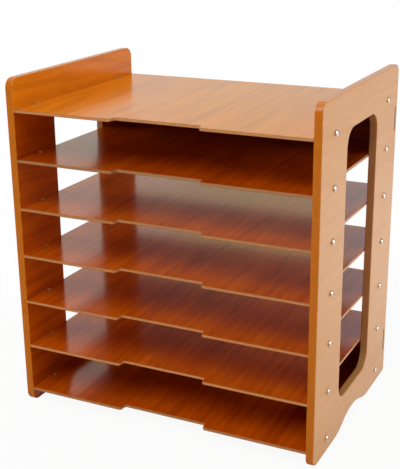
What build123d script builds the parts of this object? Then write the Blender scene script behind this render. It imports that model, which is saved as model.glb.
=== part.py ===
"""Tiered wooden paper organizer: seven thin shelves screwed between two side panels.

Millimetres, +Z up. The origin is on the floor under the middle of the organizer.
The front, where paper goes in, faces -Y, and the left side panel stands at -X.
"""

import os
from math import sqrt

from build123d import *

# Shelves: thin boards that hold sheets lying across the organizer
sheet_width = 297.0
sheet_side_clearance = 6.5
shelf_thickness = 3.0
shelf_depth = 231.0
sheet_opening_height = 47.2
bottom_shelf_clearance = 13.8
shelf_names = ["bottom_shelf", "shelf_6", "shelf_5", "shelf_4", "shelf_3", "shelf_2", "top_shelf"]

# Finger recess in the front edge of every shelf
recess_mouth_width = 94.0
recess_floor_width = 91.0
recess_depth = 8.5
recess_corner_radius = 2.0

# Side panels
panel_thickness = 8.0
panel_edge_margin = 0.5
panel_corner_radius = 10.0
rear_foot_corner_radius = 5.0
panel_edge_round = 1.0
rim_height = 30.5

# Tall cut-out in each side panel
cutout_width = 93.0
cutout_corner_radius = 18.0
cutout_above_bottom_shelf = 20.5
cutout_below_top_shelf = 3.4

# Arch between the two feet of each side panel
arch_width = 80.0
arch_rise = 11.2
arch_end_round = 65.0

# Back boards behind the highest and the lowest compartment
back_board_thickness = 3.0
back_board_setback = 5.3
board_fit_clearance = 0.1
tab_height = 25.0
tab_end_inset = 0.2

# Screws through the side panels, with nuts in the shelf ends
screw_edge_distance = 35.5
screw_diameter = 3.0
screw_tip_projection = 0.8
screw_tip_chamfer = 0.4
screw_hole_clearance = 0.2
head_diameter = 6.0
head_height = 2.4
head_rim_height = 1.4
driver_cross_width = 3.2
driver_slot_width = 0.8
driver_cross_depth = 1.3
driver_cross_taper = 12.0
nut_across_flats = 5.5
nut_thickness = 2.4
nut_inset = 2.8
nut_corner_chamfer = 0.4
nut_bore_clearance = 0.1
slot_clearance = 0.2

# How near a corner has to be to a line to count as on it
on_line = 0.01

# Places that follow from the sizes above
inner_width = sheet_width + 2 * sheet_side_clearance
outer_width = inner_width + 2 * panel_thickness
panel_depth = shelf_depth + 2 * panel_edge_margin
shelf_pitch = sheet_opening_height + shelf_thickness
shelf_bottoms = [bottom_shelf_clearance + i * shelf_pitch for i in range(len(shelf_names))]
bottom_shelf_top = shelf_bottoms[0] + shelf_thickness
top_shelf_top = shelf_bottoms[-1] + shelf_thickness
panel_height = top_shelf_top + rim_height
cutout_bottom = bottom_shelf_top + cutout_above_bottom_shelf
cutout_top = shelf_bottoms[-1] - cutout_below_top_shelf
screw_rows = [-panel_depth / 2 + screw_edge_distance, panel_depth / 2 - screw_edge_distance]
screw_length = panel_thickness + nut_inset + nut_thickness + screw_tip_projection
slot_length = screw_length - panel_thickness + slot_clearance
board_rear = panel_depth / 2 - back_board_setback
board_compartments = {"upper_back_board": len(shelf_names) - 2, "lower_back_board": 0}

os.makedirs("parts", exist_ok=True)


def compartment_middle(index):
    """Height of the middle of the space above the shelf with this index."""
    return shelf_bottoms[index] + shelf_thickness + sheet_opening_height / 2


def write(builder, label):
    """Label a finished piece and write it as its own file."""
    builder.part.label = label
    export_step(builder.part, f"parts/{label}.step")


def side_panel(label, low_face_x):
    """A side panel whose face nearer to -X lies at low_face_x."""
    with BuildPart() as panel:
        with BuildSketch(Plane.YZ.offset(low_face_x)):
            with Locations((0, panel_height / 2)):
                Rectangle(panel_depth, panel_height)
            # In this sketch X runs from the panel's front to its rear and Y runs up
            fillet(vertices().sort_by(Axis.Y)[:2].sort_by(Axis.X)[-1], rear_foot_corner_radius)
            other_corners = vertices().filter_by(
                lambda v: abs(abs(v.X) - panel_depth / 2) < on_line
                and abs(abs(v.Y - panel_height / 2) - panel_height / 2) < on_line
            )
            fillet(other_corners, panel_corner_radius)
            with BuildSketch(mode=Mode.PRIVATE) as foot_arch:
                with BuildLine():
                    arch = ThreePointArc((-arch_width / 2, 0), (0, arch_rise), (arch_width / 2, 0))
                    Polyline(arch @ 1, (arch_width / 2, -arch_rise), (-arch_width / 2, -arch_rise), arch @ 0)
                make_face()
            add(foot_arch.sketch, mode=Mode.SUBTRACT)
            arch_ends = vertices().filter_by(
                lambda v: abs(abs(v.X) - arch_width / 2) < on_line and v.Y < on_line
            )
            fillet(arch_ends, arch_end_round)
            with Locations((0, (cutout_bottom + cutout_top) / 2)):
                RectangleRounded(
                    cutout_width, cutout_top - cutout_bottom, cutout_corner_radius, mode=Mode.SUBTRACT
                )
        extrude(amount=panel_thickness)
        both_faces = panel.faces().filter_by(Axis.X)
        fillet(both_faces.edges(), panel_edge_round)
        with BuildSketch(Plane.YZ.offset(low_face_x)):
            with Locations(*[(y, z + shelf_thickness / 2) for y in screw_rows for z in shelf_bottoms]):
                Circle(screw_diameter / 2 + screw_hole_clearance)
            for index in board_compartments.values():
                with Locations((board_rear - back_board_thickness / 2, compartment_middle(index))):
                    Rectangle(
                        back_board_thickness + 2 * board_fit_clearance,
                        tab_height + 2 * board_fit_clearance,
                    )
        extrude(amount=panel_thickness, mode=Mode.SUBTRACT)
    write(panel, label)


def shelf(label, bottom):
    """A thin shelf with a finger recess in front and two T-shaped slots in each end."""
    with BuildPart() as board:
        with BuildSketch(Plane.XY.offset(bottom)):
            Rectangle(inner_width, shelf_depth)
            front = -shelf_depth / 2
            with BuildSketch(mode=Mode.PRIVATE) as recess:
                with BuildLine():
                    Polyline(
                        (-recess_mouth_width / 2, front),
                        (-recess_floor_width / 2, front + recess_depth),
                        (recess_floor_width / 2, front + recess_depth),
                        (recess_mouth_width / 2, front),
                        close=True,
                    )
                make_face()
            add(recess.sketch, mode=Mode.SUBTRACT)
            recess_corners = vertices().filter_by(lambda v: abs(v.X) < recess_mouth_width / 2 + on_line)
            fillet(recess_corners, recess_corner_radius)
            for side in (-1, 1):
                with Locations(*[(side * inner_width / 2, y) for y in screw_rows]):
                    Rectangle(
                        2 * slot_length, screw_diameter + 2 * slot_clearance, mode=Mode.SUBTRACT
                    )
                nut_middle = inner_width / 2 - nut_inset - (nut_thickness + slot_clearance) / 2
                with Locations(*[(side * nut_middle, y) for y in screw_rows]):
                    Rectangle(
                        nut_thickness + slot_clearance,
                        nut_across_flats + 2 * slot_clearance,
                        mode=Mode.SUBTRACT,
                    )
        extrude(amount=shelf_thickness)
    write(board, label)


def back_board(label, index):
    """A back board behind one compartment, with an end tab through each side panel."""
    with BuildPart() as board:
        with BuildSketch(Plane.XZ.offset(-board_rear)):
            with Locations((0, compartment_middle(index))):
                Rectangle(
                    inner_width - 2 * board_fit_clearance,
                    sheet_opening_height - 2 * board_fit_clearance,
                )
                Rectangle(outer_width - 2 * tab_end_inset, tab_height)
        extrude(amount=back_board_thickness)
    write(board, label)


# One pan-head screw: the head's underside is at the origin and the shank points along -X
with BuildPart() as screw:
    with BuildSketch(Plane.XY):
        with BuildLine():
            head_dome = TangentArc((head_height, 0), (head_rim_height, head_diameter / 2), tangent=(0, 1))
            Polyline(
                head_dome @ 0,
                (-screw_length, 0),
                (-screw_length, screw_diameter / 2 - screw_tip_chamfer),
                (-screw_length + screw_tip_chamfer, screw_diameter / 2),
                (0, screw_diameter / 2),
                (0, head_diameter / 2),
                head_dome @ 1,
            )
        make_face()
    revolve(axis=Axis.X)
    with BuildSketch(Plane.YZ.offset(head_height)):
        Rectangle(driver_cross_width, driver_slot_width)
        Rectangle(driver_slot_width, driver_cross_width)
    extrude(amount=-driver_cross_depth, taper=driver_cross_taper, mode=Mode.SUBTRACT)

# One hexagonal nut: its face towards the side panel is at the origin and it extends along -X
with BuildPart() as nut:
    with BuildSketch(Plane.YZ.offset(-nut_thickness)):
        RegularPolygon(nut_across_flats / 2, 6, major_radius=False, rotation=90)
    extrude(amount=nut_thickness)
    corner_radius = nut_across_flats / sqrt(3)
    with BuildSketch(Plane.XY):
        with BuildLine():
            Polyline(
                (0, 0),
                (0, corner_radius - nut_corner_chamfer),
                (-nut_corner_chamfer / 2, corner_radius),
                (-nut_thickness + nut_corner_chamfer / 2, corner_radius),
                (-nut_thickness, corner_radius - nut_corner_chamfer),
                (-nut_thickness, 0),
                close=True,
            )
        make_face()
    revolve(axis=Axis.X, mode=Mode.INTERSECT)
    with BuildSketch(Plane.YZ):
        Circle(screw_diameter / 2 + nut_bore_clearance)
    extrude(amount=-nut_thickness, mode=Mode.SUBTRACT)


def fastener_places(shelf_bottom, half_span):
    """Four places at one shelf, two on each side, each turned so that +X points outwards."""
    height = shelf_bottom + shelf_thickness / 2
    right = [Location((half_span, y, height)) for y in screw_rows]
    left = [Location((-half_span, y, height), (0, 0, 180)) for y in screw_rows]
    return right + left


def fastener_group(label, fastener, places):
    """Copies of one screw or nut, as separate solids of one piece."""
    with BuildPart() as group:
        with Locations(*places):
            add(fastener.part)
    write(group, label)


side_panel("left_side_panel", -outer_width / 2)
side_panel("right_side_panel", inner_width / 2)
for shelf_name, shelf_bottom in zip(shelf_names, shelf_bottoms):
    shelf(shelf_name, shelf_bottom)
    screw_places = fastener_places(shelf_bottom, outer_width / 2)
    nut_places = fastener_places(shelf_bottom, inner_width / 2 - nut_inset)
    fastener_group(f"{shelf_name}_screws", screw, screw_places)
    fastener_group(f"{shelf_name}_nuts", nut, nut_places)
for board_name, compartment in board_compartments.items():
    back_board(board_name, compartment)
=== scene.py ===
"""Looks of a tiered wooden paper organizer: seven thin shelves screwed between two side panels.

Metres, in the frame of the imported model: +Z up, the open front faces -Y and the left side
panel stands at -X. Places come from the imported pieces; this script adds finish and detail.
"""

import logging
import math
from collections.abc import Iterable, Mapping, Sequence
from dataclasses import dataclass, field
from enum import Enum
from typing import Any

import bmesh
import bpy
from mathutils import Matrix, Vector


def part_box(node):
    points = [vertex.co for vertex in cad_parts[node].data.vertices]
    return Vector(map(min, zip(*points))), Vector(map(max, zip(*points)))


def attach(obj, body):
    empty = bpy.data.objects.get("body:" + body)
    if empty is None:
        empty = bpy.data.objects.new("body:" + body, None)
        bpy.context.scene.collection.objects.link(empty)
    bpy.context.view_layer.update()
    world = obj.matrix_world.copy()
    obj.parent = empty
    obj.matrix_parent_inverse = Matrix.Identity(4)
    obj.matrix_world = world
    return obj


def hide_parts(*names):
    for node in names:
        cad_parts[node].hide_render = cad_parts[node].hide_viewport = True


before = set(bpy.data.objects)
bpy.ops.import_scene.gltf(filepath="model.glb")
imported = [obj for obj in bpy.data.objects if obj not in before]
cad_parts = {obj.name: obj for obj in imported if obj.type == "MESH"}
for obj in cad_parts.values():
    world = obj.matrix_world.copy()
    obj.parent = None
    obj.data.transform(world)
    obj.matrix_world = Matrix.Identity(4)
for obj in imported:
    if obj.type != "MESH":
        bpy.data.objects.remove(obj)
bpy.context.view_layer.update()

BODY = "root"
SHELVES = ("top_shelf", "shelf_2", "shelf_3", "shelf_4", "shelf_5", "shelf_6", "bottom_shelf")

Socket = bpy.types.NodeSocket
Colour = tuple[float, float, float]
Place = tuple[float, float, float]
# Where a level is eased to 0 and where to 1
Span = tuple[float, float]
# A figure's width across the grain and its length along it
GrainSize = tuple[float, float]

WHITE: Colour = (1.0, 1.0, 1.0)
BLACK: Colour = (0.0, 0.0, 0.0)
# The middle of a level that runs from 0 to 1
MIDDLE = 0.5
# Where the deep, middle and pale tones stand on a colour ramp
TONE_STOPS = (0.22, 0.5, 0.78)

log = logging.getLogger("organizer")


class Axis(Enum):
    """A direction of the organizer's frame."""

    ACROSS = 0
    DEPTH = 1
    HEIGHT = 2

    def vector(self) -> Vector:
        """Turn the direction into a vector.

        Returns:
            The unit vector along it.
        """
        unit = Vector((0.0, 0.0, 0.0))
        unit[self.value] = 1.0
        return unit


class EdgeStyle(Enum):
    """How the cut edges of a board are finished, as a light and a dark colour."""

    STAINED = ((0.69, 0.185, 0.007), (0.60, 0.150, 0.004))
    BARE = ((0.74, 0.330, 0.120), (0.58, 0.230, 0.076))
    # Very dark brown; it goes on the back boards' cut edges.
    DARK_BROWN = ((0.075, 0.033, 0.014), (0.045, 0.019, 0.009))


@dataclass(frozen=True)
class Tones:
    """Three tones of the wood figure, from its darkest streaks to its palest."""

    deep: Colour
    middle: Colour
    pale: Colour

    def stops(self, shade: Colour) -> list[tuple[float, Colour]]:
        """The stops of a colour ramp, each tone multiplied by a shade."""
        shaded = [
            tuple(value * share for value, share in zip(tone, shade))
            for tone in (self.deep, self.middle, self.pale)
        ]
        return list(zip(TONE_STOPS, shaded))


# The laminate's own colour in the open; darker, redder tones painted in as shade between the panels; and
# paler tones painted on the panels' outer faces as sheen
GOLDEN = Tones((0.63, 0.160, 0.0), (0.72, 0.201, 0.0), (0.80, 0.243, 0.001))
PAINTED_SHADE = Tones((0.44, 0.060, 0.0), (0.57, 0.092, 0.0), (0.68, 0.126, 0.001))
PAINTED_SHEEN = Tones((0.62, 0.278, 0.088), (0.645, 0.300, 0.104), (0.67, 0.322, 0.120))


@dataclass(frozen=True)
class BoardShade:
    """How one board differs a little from the others: its painted shade and light, and its gloss.

    Attributes:
        face: What the tones of its faces are multiplied by: painted shade below 1, painted light above 1.
        edge: What the colour of its cut edges is multiplied by, painted shade and light in the same way.
        gloss: The roughness of its faces.
    """

    face: Colour = WHITE
    edge: Colour = WHITE
    gloss: float = 0.165


# Painted shade and light, shelf by shelf: shelf_2's faces darker for the closed compartment above it, the
# top shelf's faces lighter, smaller shifts on the others, and cut edges darker or lighter from shelf to
# shelf.
SHADES = {
    "top_shelf": BoardShade((1.08, 1.06, 1.0), WHITE, 0.20),
    "shelf_2": BoardShade((0.83, 0.74, 0.80), (0.72, 0.77, 0.85)),
    "shelf_3": BoardShade((1.01, 1.08, 1.0), (0.86, 0.87, 0.89)),
    "shelf_4": BoardShade((1.0, 1.06, 1.0), (0.97, 0.91, 0.83)),
    "shelf_5": BoardShade((1.0, 1.04, 1.0), (1.03, 0.95, 0.83)),
    "shelf_6": BoardShade(WHITE, (1.09, 1.06, 1.0)),
    "bottom_shelf": BoardShade((0.98, 0.90, 1.0), (0.84, 0.80, 0.70)),
}


class Level:
    """One number that varies over a surface. Python's operators on it add Math nodes."""

    def __init__(self, graph: "Graph", socket: Socket) -> None:
        """Wrap an output socket of a graph."""
        self.graph = graph
        self.socket = socket

    def _math(self, operation: str, *operands: "Level | float") -> "Level":
        """The result of one Math node."""
        return self.graph.level("ShaderNodeMath", {"operation": operation}, dict(enumerate(operands)))

    def __add__(self, other: "Level | float") -> "Level":
        """Sum."""
        return self._math("ADD", self, other)

    __radd__ = __add__

    def __sub__(self, other: "Level | float") -> "Level":
        """Difference."""
        return self._math("SUBTRACT", self, other)

    def __rsub__(self, other: "Level | float") -> "Level":
        """Difference from a plain number."""
        return self._math("SUBTRACT", other, self)

    def __mul__(self, other: "Level | float") -> "Level":
        """Product."""
        return self._math("MULTIPLY", self, other)

    __rmul__ = __mul__

    def __abs__(self) -> "Level":
        """Size without sign."""
        return self._math("ABSOLUTE", self)

    def greatest(self, other: "Level | float") -> "Level":
        """The larger of two levels."""
        return self._math("MAXIMUM", self, other)

    def least(self, other: "Level | float") -> "Level":
        """The smaller of two levels."""
        return self._math("MINIMUM", self, other)

    def ease(self, low: float, high: float) -> "Level":
        """Turn the stretch from low to high into a smooth 0 to 1.

        Args:
            low: The level that becomes 0.
            high: The level that becomes 1, which may lie below low.

        Returns:
            The eased level.
        """
        settings = {"interpolation_type": "SMOOTHSTEP"}
        sockets = {"Value": self, "From Min": low, "From Max": high}
        return self.graph.level("ShaderNodeMapRange", settings, sockets)


class Graph:
    """The node tree of one material or of the world, while it is put together."""

    def __init__(self, tree: bpy.types.NodeTree) -> None:
        """Empty a tree, to fill it anew."""
        self.tree = tree
        tree.nodes.clear()

    def node(
        self,
        kind: str,
        settings: Mapping[str, Any] | None = None,
        sockets: Mapping[int | str, Any] | None = None,
    ) -> bpy.types.Node:
        """Make a node of any type.

        Args:
            kind: The node's type.
            settings: Its properties, set first. A colour ramp's stops go under "stops".
            sockets: Values or links by socket name, identifier or number.

        Returns:
            The new node.
        """
        made = self.tree.nodes.new(kind)
        for name, value in (settings or {}).items():
            if name == "stops":
                self._set_stops(made.color_ramp, value)
            else:
                setattr(made, name, value)
        for key, value in (sockets or {}).items():
            self._fill(self._find(made.inputs, key), value)
        return made

    def level(
        self,
        kind: str,
        settings: Mapping[str, Any] | None = None,
        sockets: Mapping[int | str, Any] | None = None,
        output: int | str = 0,
    ) -> Level:
        """Make a node and take one of its outputs as a number."""
        return Level(self, self._find(self.node(kind, settings, sockets).outputs, output))

    def noise(self, place: Socket, scale: float, detail: float) -> Level:
        """Noise from 0 to 1, where scale says how many of its blotches go into a metre."""
        sockets = {"Vector": place, "Scale": scale, "Detail": detail}
        return self.level("ShaderNodeTexNoise", sockets=sockets)

    def along(self, direction: Socket, axis: Axis) -> Level:
        """The part of a direction, or of a place, that lies along an axis."""
        sockets = {0: direction, 1: axis.vector()}
        return self.level("ShaderNodeVectorMath", {"operation": "DOT_PRODUCT"}, sockets, "Value")

    def parts(self, place: Socket) -> tuple[Level, Level, Level]:
        """The three coordinates of a place."""
        split = self.node("ShaderNodeSeparateXYZ", sockets={0: place}).outputs
        return Level(self, split[0]), Level(self, split[1]), Level(self, split[2])

    def mixed(self, share: Level | float, first: Any, second: Any, blend: str = "MIX") -> Socket:
        """Mix two colours.

        Args:
            share: How much of the second colour shows.
            first: A colour or a colour socket.
            second: A colour or a colour socket.
            blend: The way in which they mix.

        Returns:
            The mixed colour.
        """
        settings = {"data_type": "RGBA", "blend_type": blend}
        sockets = {"Factor_Float": share, "A_Color": first, "B_Color": second}
        return self._find(self.node("ShaderNodeMix", settings, sockets).outputs, "Result_Color")

    def ramp(self, level: Level, stops: Sequence[tuple[float, Colour]]) -> Socket:
        """The colour of a level on a colour ramp."""
        return self.node("ShaderNodeValToRGB", {"stops": stops}, {0: level}).outputs[0]

    def relief(
        self, height: Level, strength: float, distance: float, over: Socket | None = None
    ) -> Socket:
        """Turn a height into relief.

        Args:
            height: The height over the surface.
            strength: How strongly it shows.
            distance: What a height of 1 stands for, in metres.
            over: Other relief that it lies on.

        Returns:
            The surface's new direction.
        """
        sockets = {"Strength": strength, "Distance": distance, "Height": height}
        if over is not None:
            sockets["Normal"] = over
        return self.node("ShaderNodeBump", sockets=sockets).outputs[0]

    def show(self, shader: Socket, output: str = "ShaderNodeOutputMaterial") -> None:
        """Show a finished shader."""
        self.node(output, sockets={"Surface": shader})

    def _fill(self, socket: Socket, value: Any) -> None:
        """Link a socket, or set its own value.

        Args:
            socket: An input socket.
            value: A level, an output socket or a plain value.
        """
        if isinstance(value, Level):
            self.tree.links.new(value.socket, socket)
        elif isinstance(value, Socket):
            self.tree.links.new(value, socket)
        elif socket.type == "RGBA":
            socket.default_value = (*value[:3], 1.0)
        else:
            socket.default_value = value

    @staticmethod
    def _find(sockets: Iterable[Socket], key: int | str) -> Socket:
        """Find a socket of a node.

        Args:
            sockets: The node's inputs or outputs.
            key: The socket's number, identifier or name.

        Returns:
            The socket.
        """
        if isinstance(key, int):
            return sockets[key]
        return next((s for s in sockets if s.identifier == key), None) or sockets[key]

    @staticmethod
    def _set_stops(ramp: bpy.types.ColorRamp, stops: Sequence[tuple[float, Colour]]) -> None:
        """Give a colour ramp its stops.

        Args:
            ramp: The ramp.
            stops: Each stop's position and colour.
        """
        while len(ramp.elements) > len(stops):
            ramp.elements.remove(ramp.elements[-1])
        while len(ramp.elements) < len(stops):
            ramp.elements.new(1.0)
        for element, (position, colour) in zip(ramp.elements, stops):
            element.position = position
            element.color = (*colour, 1.0)


def new_material(name: str) -> tuple[bpy.types.Material, Graph]:
    """Make an empty node material.

    Args:
        name: The material's name.

    Returns:
        The material and the graph of its node tree.
    """
    material = bpy.data.materials.new(name)
    material.use_nodes = True
    return material, Graph(material.node_tree)


def dress(piece: bpy.types.Object, material: bpy.types.Material) -> None:
    """Give a piece one material all over.

    Args:
        piece: The piece.
        material: The material.
    """
    if not piece.material_slots:
        piece.data.materials.append(material)
    for slot in piece.material_slots:
        slot.material = material


@dataclass(frozen=True)
class ShadeSpace:
    """The space between the side panels and under the top shelf, where the faces get painted shade:
    darker, redder tones.

    Attributes:
        half_width: How far it reaches to each side.
        front: Where it starts along the depth.
        rear: Where it ends.
        top: Its highest point.
    """

    half_width: float
    front: float
    rear: float
    top: float

    @classmethod
    def inside(cls) -> "ShadeSpace":
        """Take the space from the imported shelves.

        Returns:
            The space.
        """
        into_top_shelf = 0.0005
        low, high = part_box("bottom_shelf")
        return cls(high.x, low.y, high.y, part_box("top_shelf")[0].z + into_top_shelf)

    def depth(self, x: Level, y: Level, z: Level) -> Level:
        """How deep inside the space a place lies, which is below 0 outside it."""
        return (self.half_width - abs(x)).least(y - self.front).least(self.rear - y).least(self.top - z)


@dataclass(frozen=True)
class CutoutFinish:
    """The paler edge of the tall cut-out in a side panel, where hands reach in, with a painted highlight
    on its lowest part.

    Attributes:
        dark: The darker of its two colours.
        light: The lighter one.
        painted_sill_light: The lighter colour of its lowest part, which faces up: a painted highlight.
        beside: How far to the front or the rear it starts and is full.
        below, above: How high it starts and is full, over the arch and under the panel's top.
        painted_sill_light_height: How high that painted highlight starts and is full.
    """

    dark: Colour = (0.44, 0.185, 0.062)
    light: Colour = (0.58, 0.265, 0.095)
    painted_sill_light: Colour = (0.66, 0.350, 0.110)
    beside: Span = (0.075, 0.060)
    below: Span = (0.020, 0.026)
    above: Span = (0.330, 0.320)
    painted_sill_light_height: Span = (0.060, 0.042)

    def over(self, graph: Graph, colour: Socket, speckle: Level, y: Level, z: Level) -> Socket:
        """Lay the finish over the colour of the panel's other edges.

        Args:
            graph: The graph.
            colour: That colour.
            speckle: The speckle of the cut wood, from 0 to 1.
            y: The place along the depth.
            z: The place along the height.

        Returns:
            The colour of all the edges.
        """
        here = abs(y).ease(*self.beside).least(z.ease(*self.below)).least(z.ease(*self.above))
        inside = graph.mixed(speckle, self.dark, self.light)
        # Painted highlight: the lowest part of the cut-out's edge is lighter.
        inside = graph.mixed(z.ease(*self.painted_sill_light_height), inside, self.painted_sill_light)
        return graph.mixed(here, colour, inside)


@dataclass(frozen=True)
class WoodFigure:
    """The parts of one board's wood figure, each from 0 to 1."""

    rings: Level
    streaks: Level
    flames: Level
    fibres: Level
    pores: Level


@dataclass(frozen=True)
class BoardFinish:
    """Glossy wood-grain laminate on the faces of one board, and the finish of its cut edges.

    Attributes:
        face_axis: The direction that the board's two faces look along.
        grain_axis: The direction of the grain.
        edge: How the cut edges are finished.
        shift: Where this board's figure is taken from, so that no two boards are alike.
        middle: Where the board's middle plane lies along the face axis.
        thickness: The board's thickness.
        shade_space: The space in which the faces get painted shade.
        shade: The board's painted shade and light, and its gloss.
        wrap: How far the film of the faces reaches round the arrises, as the part of the
            surface's direction that lies along the face axis.
        cutout: The finish of a side panel's cut-out.
        pore, pore_share: The pores' colour, and how much of it they take on.
        pore_bias: How much oftener pores are found in dark streaks.
        flame_tint, flame_share: What a dark flame's colour is multiplied by, and how far.
        pore_limits, flame_limits: The noise at which a pore or a flame starts and is full.
        film_line, film_thickness, film_blur: The film's own thin edge: colour, width, softness.
        grain_tilt_deg: How far the figure is turned off the board's directions.
        ring_spacing, ring_wander: How far apart the rings are, and how far they stray from round.
        ring_stretch: How much longer the rings are drawn along the grain.
        bands, fine_streaks, fibres, flames, pores: The size of each.
        fine_share: How much of the streaks' tone the fine ones give. The bands give the rest.
        ring_contrast, streak_contrast, fibre_contrast: How much each changes the tone.
        streak_roughness, pore_roughness: How much each dulls the faces.
        edge_roughness, fibre_roughness: How dull the cut edges are, and how much fibres add.
        speckles, waves: How many speckles of cut wood and slow waves go into a metre.
        speckle_limits: The noise at which a speckle starts and is full.
        streak_relief, pore_relief: How high the streaks stand, and how deep the pores are.
        refraction: The lacquer's index of refraction.
        shade_space_reach: How far in front of the surface its place in the shade space is judged.
        painted_shade_limits: How deep in the shade space the painted shade starts and is full.
        outer_limits: How far beyond the shade space's side the painted sheen starts and is full.
    """

    face_axis: Axis
    grain_axis: Axis
    edge: EdgeStyle
    shift: Place
    middle: float
    thickness: float
    shade_space: ShadeSpace
    shade: BoardShade
    wrap: Span
    cutout: CutoutFinish = CutoutFinish()
    pore: Colour = (0.24, 0.045, 0.004)
    pore_share: float = 0.45
    pore_bias: float = 0.25
    pore_limits: Span = (0.66, 0.78)
    flame_tint: Colour = (0.62, 0.50, 0.50)
    flame_share: float = 0.42
    flame_limits: Span = (0.52, 0.70)
    film_line: Colour = (0.36, 0.130, 0.035)
    film_thickness: float = 0.0003
    film_blur: float = 0.0001
    grain_tilt_deg: float = 1.6
    ring_spacing: float = 0.0105
    ring_wander: float = 5.5
    ring_stretch: float = 6.0
    bands: GrainSize = (0.016, 0.13)
    fine_streaks: GrainSize = (0.0050, 0.060)
    fibres: GrainSize = (0.0009, 0.030)
    flames: GrainSize = (0.0100, 0.120)
    pores: GrainSize = (0.00055, 0.0075)
    fine_share: float = 0.3
    ring_contrast: float = 0.12
    streak_contrast: float = 1.25
    fibre_contrast: float = 0.25
    streak_roughness: float = 0.08
    pore_roughness: float = 0.14
    edge_roughness: float = 0.22
    fibre_roughness: float = 0.2
    speckles: float = 900.0
    speckle_limits: Span = (0.3, 0.7)
    waves: float = 26.0
    streak_relief: float = 0.35
    pore_relief: float = 0.65
    refraction: float = 1.45
    shade_space_reach: float = 0.003
    painted_shade_limits: Span = (-0.001, 0.001)
    outer_limits: Span = (0.0085, 0.0100)

    def build(self, name: str) -> bpy.types.Material:
        """Make the board's material.

        Args:
            name: The material's name.

        Returns:
            The material.
        """
        material, graph = new_material(name)
        coordinates = graph.node("ShaderNodeTexCoord")
        place, normal = coordinates.outputs["Object"], coordinates.outputs["Normal"]
        figure = self._figure(graph, place)
        relief = self._relief(graph, place, figure)
        roughness = self.shade.gloss + self.streak_roughness * (figure.streaks - MIDDLE)
        roughness = roughness + self.pore_roughness * figure.pores
        face = self._lacquer(graph, self._face_colour(graph, figure, place, normal), roughness, relief)
        roughness = self.edge_roughness + self.fibre_roughness * (figure.fibres - MIDDLE)
        edge = self._lacquer(graph, self._edge_colour(graph, place), roughness, relief)
        on_face = abs(graph.along(normal, self.face_axis)).ease(*self.wrap)
        graph.show(graph.node("ShaderNodeMixShader", sockets={0: on_face, 1: edge, 2: face}).outputs[0])
        return material

    def _lacquer(self, graph: Graph, colour: Socket, roughness: Level, relief: Socket) -> Socket:
        """The shader of a lacquered surface."""
        sockets = {"Base Color": colour, "Roughness": roughness, "Normal": relief, "IOR": self.refraction}
        return graph.node("ShaderNodeBsdfPrincipled", sockets=sockets).outputs[0]

    def _stretched(self, graph: Graph, place: Socket, size: GrainSize) -> Socket:
        """Scale a place so that a pattern's unit gets a size.

        Args:
            graph: The graph.
            place: A place in metres.
            size: The unit's width across the grain and its length along it.

        Returns:
            The scaled place.
        """
        across, along = size
        scale = Vector((1 / across,) * 3)
        scale[self.grain_axis.value] = 1 / along
        settings = {"operation": "MULTIPLY"}
        return graph.node("ShaderNodeVectorMath", settings, {0: place, 1: scale}).outputs[0]

    def _noise(self, graph: Graph, place: Socket, size: GrainSize, detail: float) -> Level:
        """Make noise that is drawn out along the grain.

        Args:
            graph: The graph.
            place: A place in metres.
            size: The width and length of its streaks.
            detail: How many finer layers it has.

        Returns:
            The noise, from 0 to 1.
        """
        drawn = self._stretched(graph, place, size)
        sockets = {"Vector": drawn, "Scale": 1.0, "Detail": detail, "Roughness": 0.55, "Distortion": 0.5}
        return graph.level("ShaderNodeTexNoise", sockets=sockets)

    def _figure(self, graph: Graph, place: Socket) -> WoodFigure:
        """Draw the wood figure, from this board's own part of the pattern.

        Args:
            graph: The graph.
            place: The place on the board.

        Returns:
            The figure.
        """
        tilt = math.radians(self.grain_tilt_deg)
        sockets = {"Vector": place, "Location": self.shift, "Rotation": (tilt, tilt, -tilt)}
        pattern = graph.node("ShaderNodeMapping", sockets=sockets).outputs[0]
        # A wave pattern of scale 1 repeats after this length
        wave_unit = math.pi / 10
        rings = graph.level(
            "ShaderNodeTexWave",
            {"wave_type": "RINGS", "rings_direction": "XYZ"[self.grain_axis.value]},
            {
                "Vector": self._stretched(graph, pattern, (1.0, self.ring_stretch)),
                "Scale": wave_unit / self.ring_spacing,
                "Distortion": self.ring_wander,
                "Detail": 2.0,
                "Detail Scale": 0.35,
            },
            output=1,
        )
        bands = self._noise(graph, pattern, self.bands, detail=2.0)
        fine = self._noise(graph, pattern, self.fine_streaks, detail=1.5)
        fibres = self._noise(graph, pattern, self.fibres, detail=2.0)
        flames = self._noise(graph, pattern, self.flames, detail=2.0).ease(*self.flame_limits)
        dots = self._noise(graph, pattern, self.pores, detail=1.0)
        streaks = self.fine_share * fine + (1 - self.fine_share) * bands
        pores = (dots + self.pore_bias * (MIDDLE - streaks)).ease(*self.pore_limits)
        return WoodFigure(rings, streaks, flames, fibres, pores)

    def _face_colour(
        self, graph: Graph, figure: WoodFigure, place: Socket, normal: Socket
    ) -> Socket:
        """Colour the faces, with painted shade (darker, redder tones) between the panels and painted
        sheen (paler tones) on the panels' outer faces.

        Args:
            graph: The graph.
            figure: The wood figure.
            place: The place on the board.
            normal: The surface's direction.

        Returns:
            The faces' colour.
        """
        tone = MIDDLE + self.ring_contrast * (figure.rings - MIDDLE)
        tone = tone + self.streak_contrast * (figure.streaks - MIDDLE)
        tone = tone + self.fibre_contrast * (figure.fibres - MIDDLE)
        # The tones carry the board's painted shade and light.
        golden, painted_shade, painted_sheen = (
            graph.ramp(tone, tones.stops(self.shade.face)) for tones in (GOLDEN, PAINTED_SHADE, PAINTED_SHEEN)
        )
        settings = {"operation": "SCALE"}
        step = graph.node("ShaderNodeVectorMath", settings, {0: normal, "Scale": self.shade_space_reach})
        ahead = graph.node("ShaderNodeVectorMath", sockets={0: place, 1: step.outputs[0]}).outputs[0]
        x, y, z = graph.parts(ahead)
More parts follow.
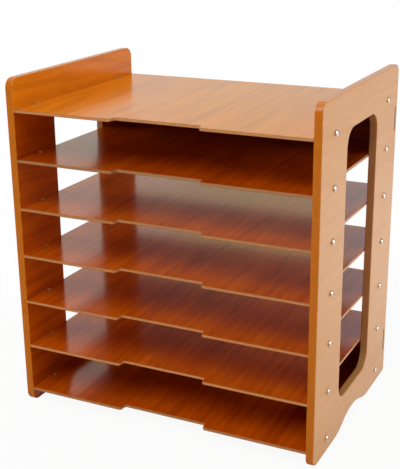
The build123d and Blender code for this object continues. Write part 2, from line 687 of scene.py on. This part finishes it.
        # Painted shade: inside the space between the panels the faces take the darker, redder tones.
        inside = self.shade_space.depth(x, y, z).ease(*self.painted_shade_limits)
        colour = graph.mixed(inside, golden, painted_shade)
        colour = graph.mixed(self.flame_share * figure.flames, colour, self.flame_tint, "MULTIPLY")
        # Painted sheen: the side panels' outer faces take the paler tones.
        start, full = self.outer_limits
        outer = abs(x).ease(self.shade_space.half_width + start, self.shade_space.half_width + full)
        colour = graph.mixed(outer, colour, painted_sheen)
        return graph.mixed(self.pore_share * figure.pores, colour, self.pore)

    def _edge_colour(self, graph: Graph, place: Socket) -> Socket:
        """Colour the cut edges.

        Args:
            graph: The graph.
            place: The place on the board.

        Returns:
            The edges' colour.
        """
        speckle = graph.noise(place, self.speckles, detail=3.0).ease(*self.speckle_limits)
        light, dark = self.edge.value
        # The shelf's painted shade and light on its cut edges.
        core = graph.mixed(1.0, graph.mixed(speckle, dark, light), self.shade.edge, "MULTIPLY")
        if self.edge is EdgeStyle.DARK_BROWN:
            return core
        x, y, z = graph.parts(place)
        if self.edge is EdgeStyle.STAINED:
            return self.cutout.over(graph, core, speckle, y, z)
        from_middle = abs((x, y, z)[self.face_axis.value] - self.middle)
        film_starts = self.thickness / 2 - self.film_thickness
        film = from_middle.ease(film_starts - self.film_blur, film_starts)
        return graph.mixed(film, core, self.film_line)

    def _relief(self, graph: Graph, place: Socket, figure: WoodFigure) -> Socket:
        """Make the shallow relief of the figure, on the slow waviness of a lacquered surface.

        Args:
            graph: The graph.
            place: The place on the board.
            figure: The wood figure.

        Returns:
            The surface's direction.
        """
        slow = graph.relief(graph.noise(place, self.waves, detail=1.0), strength=0.35, distance=0.0002)
        height = self.streak_relief * figure.streaks - self.pore_relief * figure.pores
        return graph.relief(height, strength=0.18, distance=0.0001, over=slow)


@dataclass(frozen=True)
class MetalFinish:
    """Plated steel with fine handling marks.

    Attributes:
        bright: The plating's colour where it is clean.
        dull: Its colour where it is slightly stained.
        roughness: How matt the clean plating is.
        metallic: How much of the surface is bare metal.
        stain_size: The size of the stains.
        stain_limits: The noise at which a stain starts and is full.
        stain_roughness: How much a stain dulls the plating.
        mark_size: The size of the handling marks.
        mark_roughness: How much they change the gloss.
    """

    bright: Colour
    dull: Colour
    roughness: float
    metallic: float = 1.0
    stain_size: float = 0.0016
    stain_limits: Span = (0.35, 0.75)
    stain_roughness: float = 0.12
    mark_size: float = 0.00012
    mark_roughness: float = 0.10

    def build(self, name: str) -> bpy.types.Material:
        """Make the metal's material.

        Args:
            name: The material's name.

        Returns:
            The material.
        """
        material, graph = new_material(name)
        place = graph.node("ShaderNodeTexCoord").outputs["Object"]
        stain = graph.noise(place, 1 / self.stain_size, detail=3.0).ease(*self.stain_limits)
        marks = graph.noise(place, 1 / self.mark_size, detail=2.0)
        marked = self.mark_roughness * (marks - MIDDLE)
        sockets = {
            "Base Color": graph.mixed(stain, self.bright, self.dull),
            "Metallic": self.metallic,
            "Roughness": self.roughness + self.stain_roughness * stain + marked,
            "Normal": graph.relief(marks, strength=0.12, distance=0.00002),
        }
        graph.show(graph.node("ShaderNodeBsdfPrincipled", sockets=sockets).outputs[0])
        return material


NICKEL = MetalFinish(bright=(0.95, 0.92, 0.86), dull=(0.78, 0.74, 0.67), roughness=0.17)
BROWNED_STEEL = MetalFinish(
    bright=(0.62, 0.27, 0.07), dull=(0.45, 0.17, 0.04), roughness=0.60, metallic=0.35
)


def finish_mesh(name: str, shape: bmesh.types.BMesh, sharp_deg: float) -> bpy.types.Object:
    """Turn a finished bmesh into an object at the origin, smooth except at its sharp edges.

    Args:
        name: The object's name.
        shape: The shape, which is freed.
        sharp_deg: Edges that turn by more than this stay sharp.

    Returns:
        The new object.
    """
    mesh = bpy.data.meshes.new(name)
    shape.to_mesh(mesh)
    shape.free()
    mesh.shade_smooth()
    mesh.set_sharp_from_angle(angle=math.radians(sharp_deg))
    piece = bpy.data.objects.new(name, mesh)
    bpy.context.scene.collection.objects.link(piece)
    return piece


def report(piece: bpy.types.Object) -> None:
    """Log one finished piece."""
    log.info("%s: %d faces", piece.name, len(piece.data.polygons))


@dataclass
class Boards:
    """Boards of one kind, each with its own part of the wood figure.

    Attributes:
        nodes: The construction nodes, in the order of their figures.
        face_axis, grain_axis, edge, wrap: As in the finish of each board.
        figure_start: Where the first board's figure is taken from.
        figure_step: How much further on the next board's is.
    """

    nodes: tuple[str, ...]
    face_axis: Axis
    grain_axis: Axis
    edge: EdgeStyle
    figure_start: Place
    figure_step: Place
    wrap: Span = (0.80, 0.95)

    def _laminate(self, number: int) -> bpy.types.Material:
        """Make the material of one board.

        Args:
            number: The board's number, from 0.

        Returns:
            The material.
        """
        node = self.nodes[number]
        axis = self.face_axis.value
        low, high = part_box(node)
        middle = (low[axis] + high[axis]) / 2
        shift = Vector(self.figure_start) + number * Vector(self.figure_step)
        shift[axis] = self.figure_start[axis] - middle
        finish = BoardFinish(
            self.face_axis,
            self.grain_axis,
            self.edge,
            tuple(shift),
            middle,
            high[axis] - low[axis],
            ShadeSpace.inside(),
            SHADES.get(node, BoardShade()),
            self.wrap,
        )
        return finish.build(f"{node}_laminate")


@dataclass
class SidePanels(Boards):
    """The two side panels, which keep the construction model's own shape."""

    nodes: tuple[str, ...] = ("left_side_panel", "right_side_panel")
    face_axis: Axis = Axis.ACROSS
    grain_axis: Axis = Axis.DEPTH
    edge: EdgeStyle = EdgeStyle.STAINED
    figure_start: Place = (0.045, 0.11, -0.19)
    figure_step: Place = (0.0, 0.37, 0.085)
    wrap: Span = (0.35, 0.60)

    def build(self) -> None:
        """Dress both panels."""
        for number, node in enumerate(self.nodes):
            dress(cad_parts[node], self._laminate(number))
            report(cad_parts[node])


@dataclass
class ThinBoards(Boards):
    """Thin boards: the construction model's boards with eased arrises.

    Attributes:
        slot: The record's material slot; not used.
        arris: How much of each arris is eased.
        arris_segments: How many faces go round it.
    """

    slot: str = "shelf_wood"
    arris: float = 0.0003
    arris_segments: int = 3

    def build(self) -> None:
        """Build and dress every board."""
        for number, node in enumerate(self.nodes):
            piece = self._eased(node)
            dress(piece, self._laminate(number))
            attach(piece, BODY)
            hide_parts(node)
            report(piece)

    def _eased(self, node: str) -> bpy.types.Object:
        """Copy a board and round its sharp arrises a little.

        Args:
            node: The construction node.

        Returns:
            The eased board.
        """
        shape = bmesh.new()
        shape.from_mesh(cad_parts[node].data)
        bmesh.ops.remove_doubles(shape, verts=shape.verts, dist=1e-6)
        flat = math.radians(1.0)
        bmesh.ops.dissolve_limit(shape, angle_limit=flat, verts=shape.verts, edges=shape.edges)
        square = math.radians(60.0)
        sharp = [edge for edge in shape.edges if edge.calc_face_angle(0.0) > square]
        bmesh.ops.bevel(
            shape,
            geom=sharp,
            offset=self.arris,
            segments=self.arris_segments,
            profile=0.5,
            affect="EDGES",
            clamp_overlap=True,
            material=-1,
        )
        piece = finish_mesh(f"laminated_{node}", shape, sharp_deg=40.0)
        weights = piece.modifiers.new("flat_faces", "WEIGHTED_NORMAL")
        weights.keep_sharp = True
        return piece


@dataclass
class Shelves(ThinBoards):
    """The seven shelves, with the grain from front to back and bare edges."""

    nodes: tuple[str, ...] = SHELVES
    face_axis: Axis = Axis.HEIGHT
    grain_axis: Axis = Axis.DEPTH
    edge: EdgeStyle = EdgeStyle.BARE
    figure_start: Place = (0.05, 0.0, 0.045)
    figure_step: Place = (0.173, 0.291, 0.0)


@dataclass
class BackBoards(ThinBoards):
    """The two back boards, with the grain lying across and very dark brown edges."""

    nodes: tuple[str, ...] = ("upper_back_board", "lower_back_board")
    face_axis: Axis = Axis.DEPTH
    grain_axis: Axis = Axis.ACROSS
    edge: EdgeStyle = EdgeStyle.DARK_BROWN
    figure_start: Place = (0.0, 0.05, 0.04)
    figure_step: Place = (0.31, 0.0, 0.12)


@dataclass
class Fasteners:
    """Pan-head screws with turned heads and cut threads, and the hexagonal nuts.

    Attributes:
        shelves: The shelves that the screws hold.
        head_diameter, head_height: The head's width, and its height in the middle.
        rim_height, rim_round: The height of its rim, and how much the lower arris is eased.
        dome_steps: How many rings of faces the dome has.
        thread_diameter, thread_depth: The thread's outer diameter, and how deep it is cut.
        thread_pitch: How far the thread advances in one turn.
        length: From under the head to the tip.
        cross_width, cross_slot, cross_depth: How long, wide and deep a bar of the driver cross is.
        cross_overshoot: How far its cutter stands out of the head.
        cross_floor: What a bar's length and width are multiplied by at its bottom.
        spin_steps, thread_steps: How many faces go round the head and the thread.
        cross_turn_deg: How much further each screw is turned than the one before.
        sharp_deg: Edges that turn by more than this stay sharp.
    """

    shelves: tuple[str, ...] = SHELVES
    head_diameter: float = 0.006
    head_height: float = 0.0024
    rim_height: float = 0.0014
    rim_round: float = 0.0002
    dome_steps: int = 7
    thread_diameter: float = 0.003
    thread_depth: float = 0.0003
    thread_pitch: float = 0.0005
    length: float = 0.014
    cross_width: float = 0.0034
    cross_slot: float = 0.00075
    cross_depth: float = 0.0014
    cross_overshoot: float = 0.0006
    cross_floor: tuple[float, float] = (0.45, 0.8)
    spin_steps: int = 28
    thread_steps: int = 12
    cross_turn_deg: float = 37.0
    sharp_deg: float = 35.0

    def build(self) -> None:
        """Build the screws of every shelf and dress the nuts."""
        nickel = NICKEL.build("bright_nickel")
        browned = BROWNED_STEEL.build("browned_steel")
        screw = self._screw_mesh()
        for number, shelf in enumerate(self.shelves):
            node = f"{shelf}_screws"
            piece = self._screws(node, screw, number)
            dress(piece, nickel)
            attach(piece, BODY)
            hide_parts(node)
            report(piece)
            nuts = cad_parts[f"{shelf}_nuts"]
            dress(nuts, browned)
            report(nuts)
        bpy.data.meshes.remove(screw)

    def _screws(self, node: str, screw: bpy.types.Mesh, number: int) -> bpy.types.Object:
        """Place the four screws of one shelf.

        Args:
            node: The construction node of these screws.
            screw: The mesh of one screw.
            number: The shelf's number, from 0.

        Returns:
            The screws, as one piece.
        """
        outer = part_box("right_side_panel")[1].x
        low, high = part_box(node)
        height = (low.z + high.z) / 2
        row = high.y - self.head_diameter / 2
        spots = [(side, y) for side in (1, -1) for y in (-row, row)]
        group = bmesh.new()
        for turn, (side, y) in enumerate(spots, start=number * len(spots)):
            place = Matrix.Translation((side * outer, y, height))
            facing = Matrix.Rotation(0.0 if side > 0 else math.pi, 4, "Z")
            spin = Matrix.Rotation(math.radians(self.cross_turn_deg * turn), 4, "X")
            self._add_copy(group, screw, place @ facing @ spin)
        return finish_mesh(f"pan_head_{node}", group, self.sharp_deg)

    @staticmethod
    def _add_copy(group: bmesh.types.BMesh, mesh: bpy.types.Mesh, place: Matrix) -> None:
        """Add a copy of a mesh to a group.

        Args:
            group: The group.
            mesh: The mesh.
            place: The copy's place and turn.
        """
        known = set(group.verts)
        group.from_mesh(mesh)
        fresh = [vert for vert in group.verts if vert not in known]
        bmesh.ops.transform(group, matrix=place, verts=fresh)

    def _screw_mesh(self) -> bpy.types.Mesh:
        """Make one screw, its head's underside at the origin and its axis along +X.

        Returns:
            The screw's mesh.
        """
        head = finish_mesh("screw_head", self._head(), self.sharp_deg)
        bars = (self._cross_bar(turned) for turned in (False, True))
        cutters = [finish_mesh("cross_bar", bar, self.sharp_deg) for bar in bars]
        for cutter in cutters:
            cut = head.modifiers.new("driver_cross", "BOOLEAN")
            cut.operation = "DIFFERENCE"
            cut.solver = "EXACT"
            cut.object = cutter
        graph = bpy.context.evaluated_depsgraph_get()
        cut_head = bpy.data.meshes.new_from_object(head.evaluated_get(graph))
        screw = self._thread()
        screw.from_mesh(cut_head)
        mesh = bpy.data.meshes.new("screw")
        screw.to_mesh(mesh)
        screw.free()
        bpy.data.meshes.remove(cut_head)
        for helper in (head, *cutters):
            bpy.data.meshes.remove(helper.data)
        return mesh

    @staticmethod
    def _turned(points: Sequence[tuple[float, float]], merge: float, **spin: Any) -> bmesh.types.BMesh:
        """Turn a line about the screw's axis.

        Args:
            points: Each point's place along the axis and its distance from it.
            merge: How near to each other vertices are merged.
            spin: How far it turns, and in how many steps.

        Returns:
            The shape, whose ends may still be open.
        """
        shape = bmesh.new()
        verts = [shape.verts.new((x, r, 0.0)) for x, r in points]
        edges = [shape.edges.new(pair) for pair in zip(verts, verts[1:])]
        bmesh.ops.spin(shape, geom=verts + edges, cent=(0, 0, 0), axis=(1, 0, 0), **spin)
        bmesh.ops.remove_doubles(shape, verts=shape.verts, dist=merge)
        return shape

    def _head(self) -> bmesh.types.BMesh:
        """Turn the domed pan head.

        Returns:
            The head, a closed shape without its driver cross.
        """
        radius = self.head_diameter / 2
        rise = self.head_height - self.rim_height
        dome_radius = (rise**2 + radius**2) / (2 * rise)
        edge_angle = math.asin(radius / dome_radius)
        points = [(0.0, 0.0), (0.0, radius - self.rim_round), (self.rim_round, radius)]
        for step in range(self.dome_steps + 1):
            angle = edge_angle * (1 - step / self.dome_steps)
            along = self.head_height - dome_radius * (1 - math.cos(angle))
            points.append((along, dome_radius * math.sin(angle)))
        shape = self._turned(points, merge=1e-7, angle=math.tau, steps=self.spin_steps, use_merge=True)
        bmesh.ops.recalc_face_normals(shape, faces=shape.faces)
        return shape

    def _cross_bar(self, turned: bool) -> bmesh.types.BMesh:
        """Make one bar of the driver cross, narrower towards its bottom.

        Args:
            turned: Whether it is the bar that stands across the first one.

        Returns:
            The bar.
        """
        shape = bmesh.new()
        bmesh.ops.create_cube(shape, size=1.0)
        tall = self.cross_depth + self.cross_overshoot
        bmesh.ops.scale(shape, vec=(tall, self.cross_width, self.cross_slot), verts=shape.verts)
        bottom = [vert for vert in shape.verts if vert.co.x < 0]
        bmesh.ops.scale(shape, vec=(1.0, *self.cross_floor), verts=bottom)
        place = Matrix.Translation((self.head_height + self.cross_overshoot - tall / 2, 0, 0))
        quarter = Matrix.Rotation(math.pi / 2 if turned else 0.0, 4, "X")
        bmesh.ops.transform(shape, matrix=place @ quarter, verts=shape.verts)
        return shape

    def _thread(self) -> bmesh.types.BMesh:
        """Wind one V of the thread along the axis.

        Returns:
            The threaded shank.
        """
        crest = self.thread_diameter / 2
        root = crest - self.thread_depth
        start = -self.length
        pitch = self.thread_pitch
        points = [(start, root), (start + pitch / 2, crest), (start + pitch, root)]
        turns = round(self.length / pitch) - 1
        advance = (pitch / self.thread_steps, 0, 0)
        steps = self.thread_steps * turns
        shape = self._turned(points, merge=1e-6, dvec=advance, angle=math.tau * turns, steps=steps)
        bmesh.ops.holes_fill(shape, edges=shape.edges, sides=0)
        bmesh.ops.recalc_face_normals(shape, faces=shape.faces)
        return shape


@dataclass
class PhotoCamera:
    """The camera, where the photograph was taken from.

    Attributes:
        position: Where it stands.
        heading_deg: How far it is turned from looking along +Y, towards -X.
        tilt_deg: How far it looks down.
        roll_deg: How far it is turned about its own line of sight.
        focal_length: In millimetres.
        sensor_width: In millimetres.
    """

    position: Place = (0.43201, -0.88958, 0.51041)
    heading_deg: float = 26.458
    tilt_deg: float = 18.703
    roll_deg: float = -0.688
    focal_length: float = 76.008
    sensor_width: float = 36.0

    def build(self) -> None:
        """Place the camera and make it the scene's own."""
        data = bpy.data.cameras.new("photo_camera")
        data.lens = self.focal_length
        data.sensor_width = self.sensor_width
        data.clip_start = 0.01
        data.clip_end = 50.0
        camera = bpy.data.objects.new("photo_camera", data)
        bpy.context.scene.collection.objects.link(camera)
        heading = Matrix.Rotation(math.radians(self.heading_deg), 4, "Z")
        tilt = Matrix.Rotation(math.radians(90.0 - self.tilt_deg), 4, "X")
        roll = Matrix.Rotation(math.radians(self.roll_deg), 4, "Z")
        camera.matrix_world = Matrix.Translation(self.position) @ heading @ tilt @ roll
        bpy.context.scene.camera = camera


@dataclass(frozen=True)
class SoftBox:
    """A square lamp that looks at a point of the organizer.

    Attributes:
        name: The lamp's name.
        position: Where it hangs.
        size: The length of its side.
        power: In watts.
        aim: The point that it looks at.
    """

    name: str
    position: Place
    size: float
    power: float
    aim: Place = (0.0, 0.0, 0.16)

    def build(self) -> None:
        """Hang the lamp."""
        data = bpy.data.lights.new(self.name, "AREA")
        data.shape = "SQUARE"
        data.size = self.size
        data.energy = self.power
        lamp = bpy.data.objects.new(self.name, data)
        bpy.context.scene.collection.objects.link(lamp)
        direction = Vector(self.aim) - Vector(self.position)
        turned = direction.to_track_quat("-Z", "Y").to_matrix().to_4x4()
        lamp.matrix_world = Matrix.Translation(self.position) @ turned


@dataclass
class Studio:
    """A plain pale floor, a white surround and soft lamps.

    Attributes:
        floor_size, floor_colour: The length of the floor's side, and its own colour.
        near_white: How white the floor looks under the organizer, where its shadow stays.
        shadow_fade: How far from the organizer's middle the shadow starts to fade and is gone.
        gloss_tint: The floor's colour in a reflection.
        near_rise, near_rise_share: Where along the depth the reflected floor brightens, and how much.
        far_rise: Where further back it gains the rest.
        far_fall, far_fall_share: Where still further back it darkens again, and how much.
        ambient: How much the surround lights the organizer.
        back_light: How much more a band of it lights the organizer from behind.
        back_light_depth, back_light_height: How far behind and how high that band lies.
        front_gloss, right_gloss: How bright the room looks in a reflection, in front and on the right.
        front_fade, right_fade: Where its dark changes into the white of the rest.
        surround_tints: The surround's colour in a reflection, by how high it is.
        tint_height: How high the next two colours start and are full.
        left_tint, left_side: The surround's colour on the far left, and where it starts and is full.
        right_tint, right_side: The same for the middle and the right.
        lamps: The soft lamps.
    """

    floor_size: float = 8.0
    floor_colour: Colour = (0.86, 0.86, 0.86)
    near_white: float = 0.93
    shadow_fade: Span = (0.21, 0.672)
    gloss_tint: Colour = (0.96, 0.92, 0.86)
    near_rise: Span = (-0.20, 0.0)
    near_rise_share: float = 0.62
    far_rise: Span = (0.0, 0.45)
    far_fall: Span = (0.75, 1.30)
    far_fall_share: float = 0.22
    ambient: float = 0.085
    back_light: float = 1.7
    back_light_depth: Span = (0.20, 0.70)
    back_light_height: Span = (0.50, 0.35)
    front_gloss: float = 0.09
    front_fade: Span = (-0.45, 0.05)
    right_gloss: float = 0.15
    right_fade: Span = (0.10, 0.35)
    surround_tints: tuple[tuple[float, Colour], ...] = (
        (0.10, (0.94, 0.92, 0.88)),
        (0.165, (0.58, 0.84, 0.86)),
        (0.20, (0.22, 0.82, 0.79)),
        (0.225, (1.0, 0.85, 0.65)),
        (0.31, (1.0, 0.88, 0.47)),
        (0.42, (1.0, 0.91, 0.32)),
    )
    tint_height: Span = (0.22, 0.28)
    left_tint: Colour = (1.15, 0.96, 0.84)
    left_side: Span = (-0.41, -0.48)
    right_tint: Colour = (0.80, 0.85, 0.93)
    right_side: Span = (-0.34, -0.27)
    lamps: tuple[SoftBox, ...] = field(
        default_factory=lambda: (
            SoftBox("front_top_soft_box", (0.0, -1.20, 1.65), 1.2, 20.0),
            SoftBox("right_soft_box", (2.10, 0.28, 0.54), 1.2, 22.8),
            SoftBox("left_soft_box", (-1.7, -0.1, 0.9), 1.1, 9.0),
            SoftBox("top_soft_box", (-0.2, 0.1, 1.9), 1.2, 4.0),
        )
    )

    def build(self) -> None:
        """Set up the whole studio."""
        for lamp in self.lamps:
            lamp.build()
        self._build_floor()
        self._build_surround()
        bpy.context.scene.view_settings.view_transform = "Standard"

    def _build_floor(self) -> None:
        """Lay the floor: white far away and in reflections, with the soft shadow near by."""
        shape = bmesh.new()
        bmesh.ops.create_grid(shape, x_segments=8, y_segments=8, size=self.floor_size / 2)
        floor = finish_mesh("pale_floor", shape, sharp_deg=30.0)
        material, graph = new_material("pale_floor")
        place = graph.node("ShaderNodeTexCoord").outputs["Object"]
        distance = graph.level("ShaderNodeVectorMath", {"operation": "LENGTH"}, {0: place}, "Value")
        towards_back = graph.along(place, Axis.DEPTH)
        is_camera, is_reflected = self._rays(graph)
        straight = self.near_white + (1.0 - self.near_white) * distance.ease(*self.shadow_fade)
        rise = self.near_rise_share * towards_back.ease(*self.near_rise)
        rise = rise + (1.0 - self.near_rise_share) * towards_back.ease(*self.far_rise)
        fall = 1.0 - self.far_fall_share * towards_back.ease(*self.far_fall)
        reflected = self.front_gloss + (1.0 - self.front_gloss) * rise * fall
        own = graph.mixed(is_reflected, self.floor_colour, BLACK)
        matt = graph.node("ShaderNodeBsdfDiffuse", sockets={"Color": own}).outputs[0]
        light = graph.mixed(is_camera, self.gloss_tint, WHITE)
        white = graph.node("ShaderNodeEmission", sockets={"Color": light, "Strength": 1.0}).outputs[0]
        share = is_camera * straight + is_reflected * reflected
        graph.show(graph.node("ShaderNodeMixShader", sockets={0: share, 1: matt, 2: white}).outputs[0])
        dress(floor, material)

    @staticmethod
    def _rays(graph: Graph) -> tuple[Level, Level]:
        """Two levels: 1 for what the camera sees, and 1 for what shows in gloss or clear pieces."""
        path = graph.node("ShaderNodeLightPath")
        camera, glossy, through = (
            Level(graph, path.outputs[name])
            for name in ("Is Camera Ray", "Is Glossy Ray", "Is Transmission Ray")
        )
        return camera, glossy.greatest(through) * (1.0 - camera)

    def _build_surround(self) -> None:
        """Light the organizer from all round. Gloss shows white behind and on the left."""
        world = bpy.data.worlds.new("studio")
        bpy.context.scene.world = world
        world.use_nodes = True
        graph = Graph(world.node_tree)
        direction = graph.node("ShaderNodeTexCoord").outputs["Generated"]
        towards_right, towards_back, upwards = (graph.along(direction, axis) for axis in Axis)
        is_camera, is_reflected = self._rays(graph)
        behind = self.front_gloss + (1.0 - self.front_gloss) * towards_back.ease(*self.front_fade)
        beside = 1.0 - (1.0 - self.right_gloss) * towards_right.ease(*self.right_fade)
        reflected = behind * beside
        seen = is_camera + is_reflected
        band = towards_back.ease(*self.back_light_depth) * abs(upwards).ease(*self.back_light_height)
        diffuse = self.ambient + self.back_light * band
        strength = is_camera + is_reflected * reflected + (1.0 - seen) * diffuse
        above = upwards.ease(*self.tint_height)
        tint = graph.ramp(upwards, self.surround_tints)
        tint = graph.mixed(above * towards_right.ease(*self.left_side), tint, self.left_tint)
        tint = graph.mixed(above * towards_right.ease(*self.right_side), tint, self.right_tint)
        colour = graph.mixed(is_reflected, WHITE, tint)
        light = graph.node("ShaderNodeBackground", sockets={"Color": colour, "Strength": strength})
        graph.show(light.outputs[0], "ShaderNodeOutputWorld")


def main() -> None:
    """Build the organizer's pieces, the studio and the camera."""
    logging.basicConfig(level=logging.INFO, format="%(name)s: %(message)s")
    SidePanels().build()
    Shelves().build()
    BackBoards().build()
    Fasteners().build()
    Studio().build()
    PhotoCamera().build()


if __name__ == "__main__":
    main()
